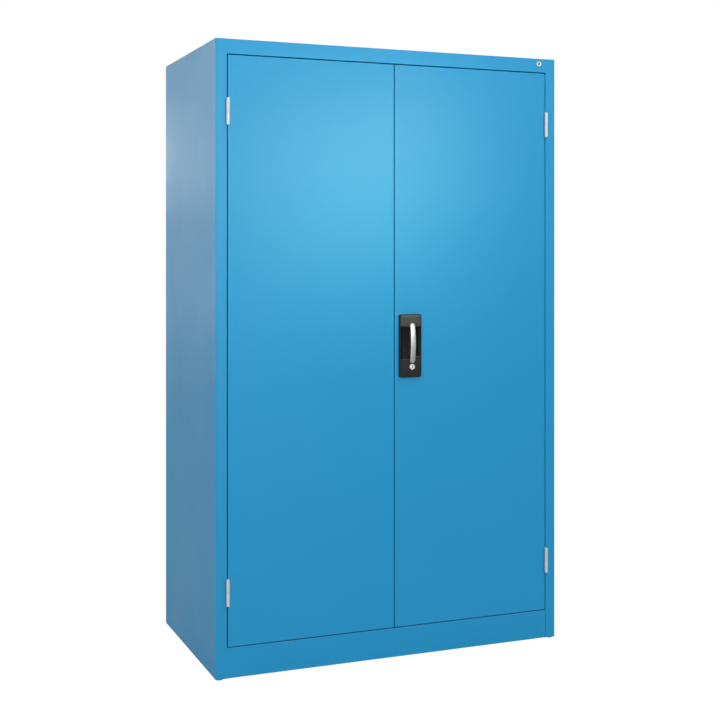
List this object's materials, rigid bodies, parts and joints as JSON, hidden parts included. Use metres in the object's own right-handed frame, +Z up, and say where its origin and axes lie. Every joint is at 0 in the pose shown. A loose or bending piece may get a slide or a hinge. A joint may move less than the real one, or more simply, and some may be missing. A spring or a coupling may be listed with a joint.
{
  "type": "tool cabinet",
  "caption": "Tall sheet-steel tool cabinet with a pair of inset hinged doors, recessed pull with key lock, slotted uprights and adjustable shelves.",
  "frame": {"origin": "middle of the overall box in plan, on the floor under the foot pads", "axes": "+X to the viewer's right, +Y from the doors to the back, +Z up"},
  "size_m": [1.18, 0.675, 1.95],
  "materials": {
    "cabinet_paint": "fine-textured satin powder coat, light blue",
    "shelf_coat": "light grey powder coat",
    "hinge_steel": "bright zinc-plated turned steel",
    "zinc_steel": "zinc-plated steel",
    "housing_plastic": "finely grained black polyamide",
    "bow_metal": "satin silver",
    "bright_chrome": "bright nickel",
    "pad_plastic": "moulded glide, cabinet colour",
    "buffer_rubber": "soft black rubber"
  },
  "bodies": {
    "cabinet_body": {"back_panel": "cabinet_paint", "door_buffers": "buffer_rubber", "fascia_cap": "bright_chrome", "floor_pan": "cabinet_paint", "foot_pads": "pad_plastic", "left_front_upright": "shelf_coat", "left_lower_hinge_frame_half": "hinge_steel", "left_lower_hinge_pin": "hinge_steel", "left_rear_upright": "shelf_coat", "left_side_panel": "cabinet_paint", "left_upper_hinge_frame_half": "hinge_steel", "left_upper_hinge_pin": "hinge_steel", "plinth_panel": "cabinet_paint", "right_front_upright": "shelf_coat", "right_lower_hinge_frame_half": "hinge_steel", "right_lower_hinge_pin": "hinge_steel", "right_rear_upright": "shelf_coat", "right_side_panel": "cabinet_paint", "right_upper_hinge_frame_half": "hinge_steel", "right_upper_hinge_pin": "hinge_steel", "shelf_1": "shelf_coat", "shelf_2": "shelf_coat", "shelf_3": "shelf_coat", "shelf_4": "shelf_coat", "shelf_clips_1": "zinc_steel", "shelf_clips_2": "zinc_steel", "shelf_clips_3": "zinc_steel", "shelf_clips_4": "zinc_steel", "top_panel": "cabinet_paint"},
    "left_door": {"left_door_skin": "cabinet_paint", "left_door_stiffener": "cabinet_paint", "left_lower_hinge_door_half": "hinge_steel", "left_upper_hinge_door_half": "hinge_steel", "left_top_bolt_bracket": "zinc_steel", "left_bottom_bolt_bracket": "zinc_steel"},
    "right_door": {"right_door_skin": "cabinet_paint", "right_door_stiffener": "cabinet_paint", "right_lower_hinge_door_half": "hinge_steel", "right_upper_hinge_door_half": "hinge_steel", "handle_housing": "housing_plastic", "bow_handle": "bow_metal", "lock_barrel": "bright_chrome", "lock_case": "zinc_steel", "lock_case_cover": "zinc_steel", "case_screws": "zinc_steel", "upper_rod_guides": "housing_plastic", "lower_rod_guides": "housing_plastic"},
    "lock_cylinder": {"lock_plug": "bright_chrome", "lock_pinion": "zinc_steel"},
    "upper_rod": {"upper_lock_rod": "zinc_steel"},
    "lower_rod": {"lower_lock_rod": "zinc_steel"},
    "top_bolt": {"left_top_bolt": "zinc_steel"},
    "bottom_bolt": {"left_bottom_bolt": "zinc_steel"}
  },
  "joints": [
    {"name": "left_door_hinge", "type": "hinge", "parent": "cabinet_body", "child": "left_door", "pos_m": [-0.5535, -0.3195, 0.997], "axis": [0, 0, -1], "range_deg": [0, 180]},
    {"name": "right_door_hinge", "type": "hinge", "parent": "cabinet_body", "child": "right_door", "pos_m": [0.5535, -0.3195, 0.997], "axis": [0, 0, 1], "range_deg": [0, 180]},
    {"name": "lock_plug_turn", "type": "hinge", "parent": "right_door", "child": "lock_cylinder", "pos_m": [0.057, -0.3125, 0.932], "axis": [0, 1, 0], "range_deg": [0, 90]},
    {"name": "upper_rod_slide", "type": "slide", "parent": "right_door", "child": "upper_rod", "axis": [0, 0, 1], "range_m": [0, 0.01414]},
    {"name": "lower_rod_slide", "type": "slide", "parent": "right_door", "child": "lower_rod", "axis": [0, 0, -1], "range_m": [0, 0.01414]},
    {"name": "top_bolt_slide", "type": "slide", "parent": "left_door", "child": "top_bolt", "axis": [0, 0, 1], "range_m": [0, 0.012]},
    {"name": "bottom_bolt_slide", "type": "slide", "parent": "left_door", "child": "bottom_bolt", "axis": [0, 0, -1], "range_m": [0, 0.012]}
  ],
  "couplings": [
    {"joint": "lock_plug_turn", "follows": "upper_rod_slide", "rad_per_m": 111.11},
    {"joint": "lower_rod_slide", "follows": "upper_rod_slide", "ratio": 1}
  ]
}
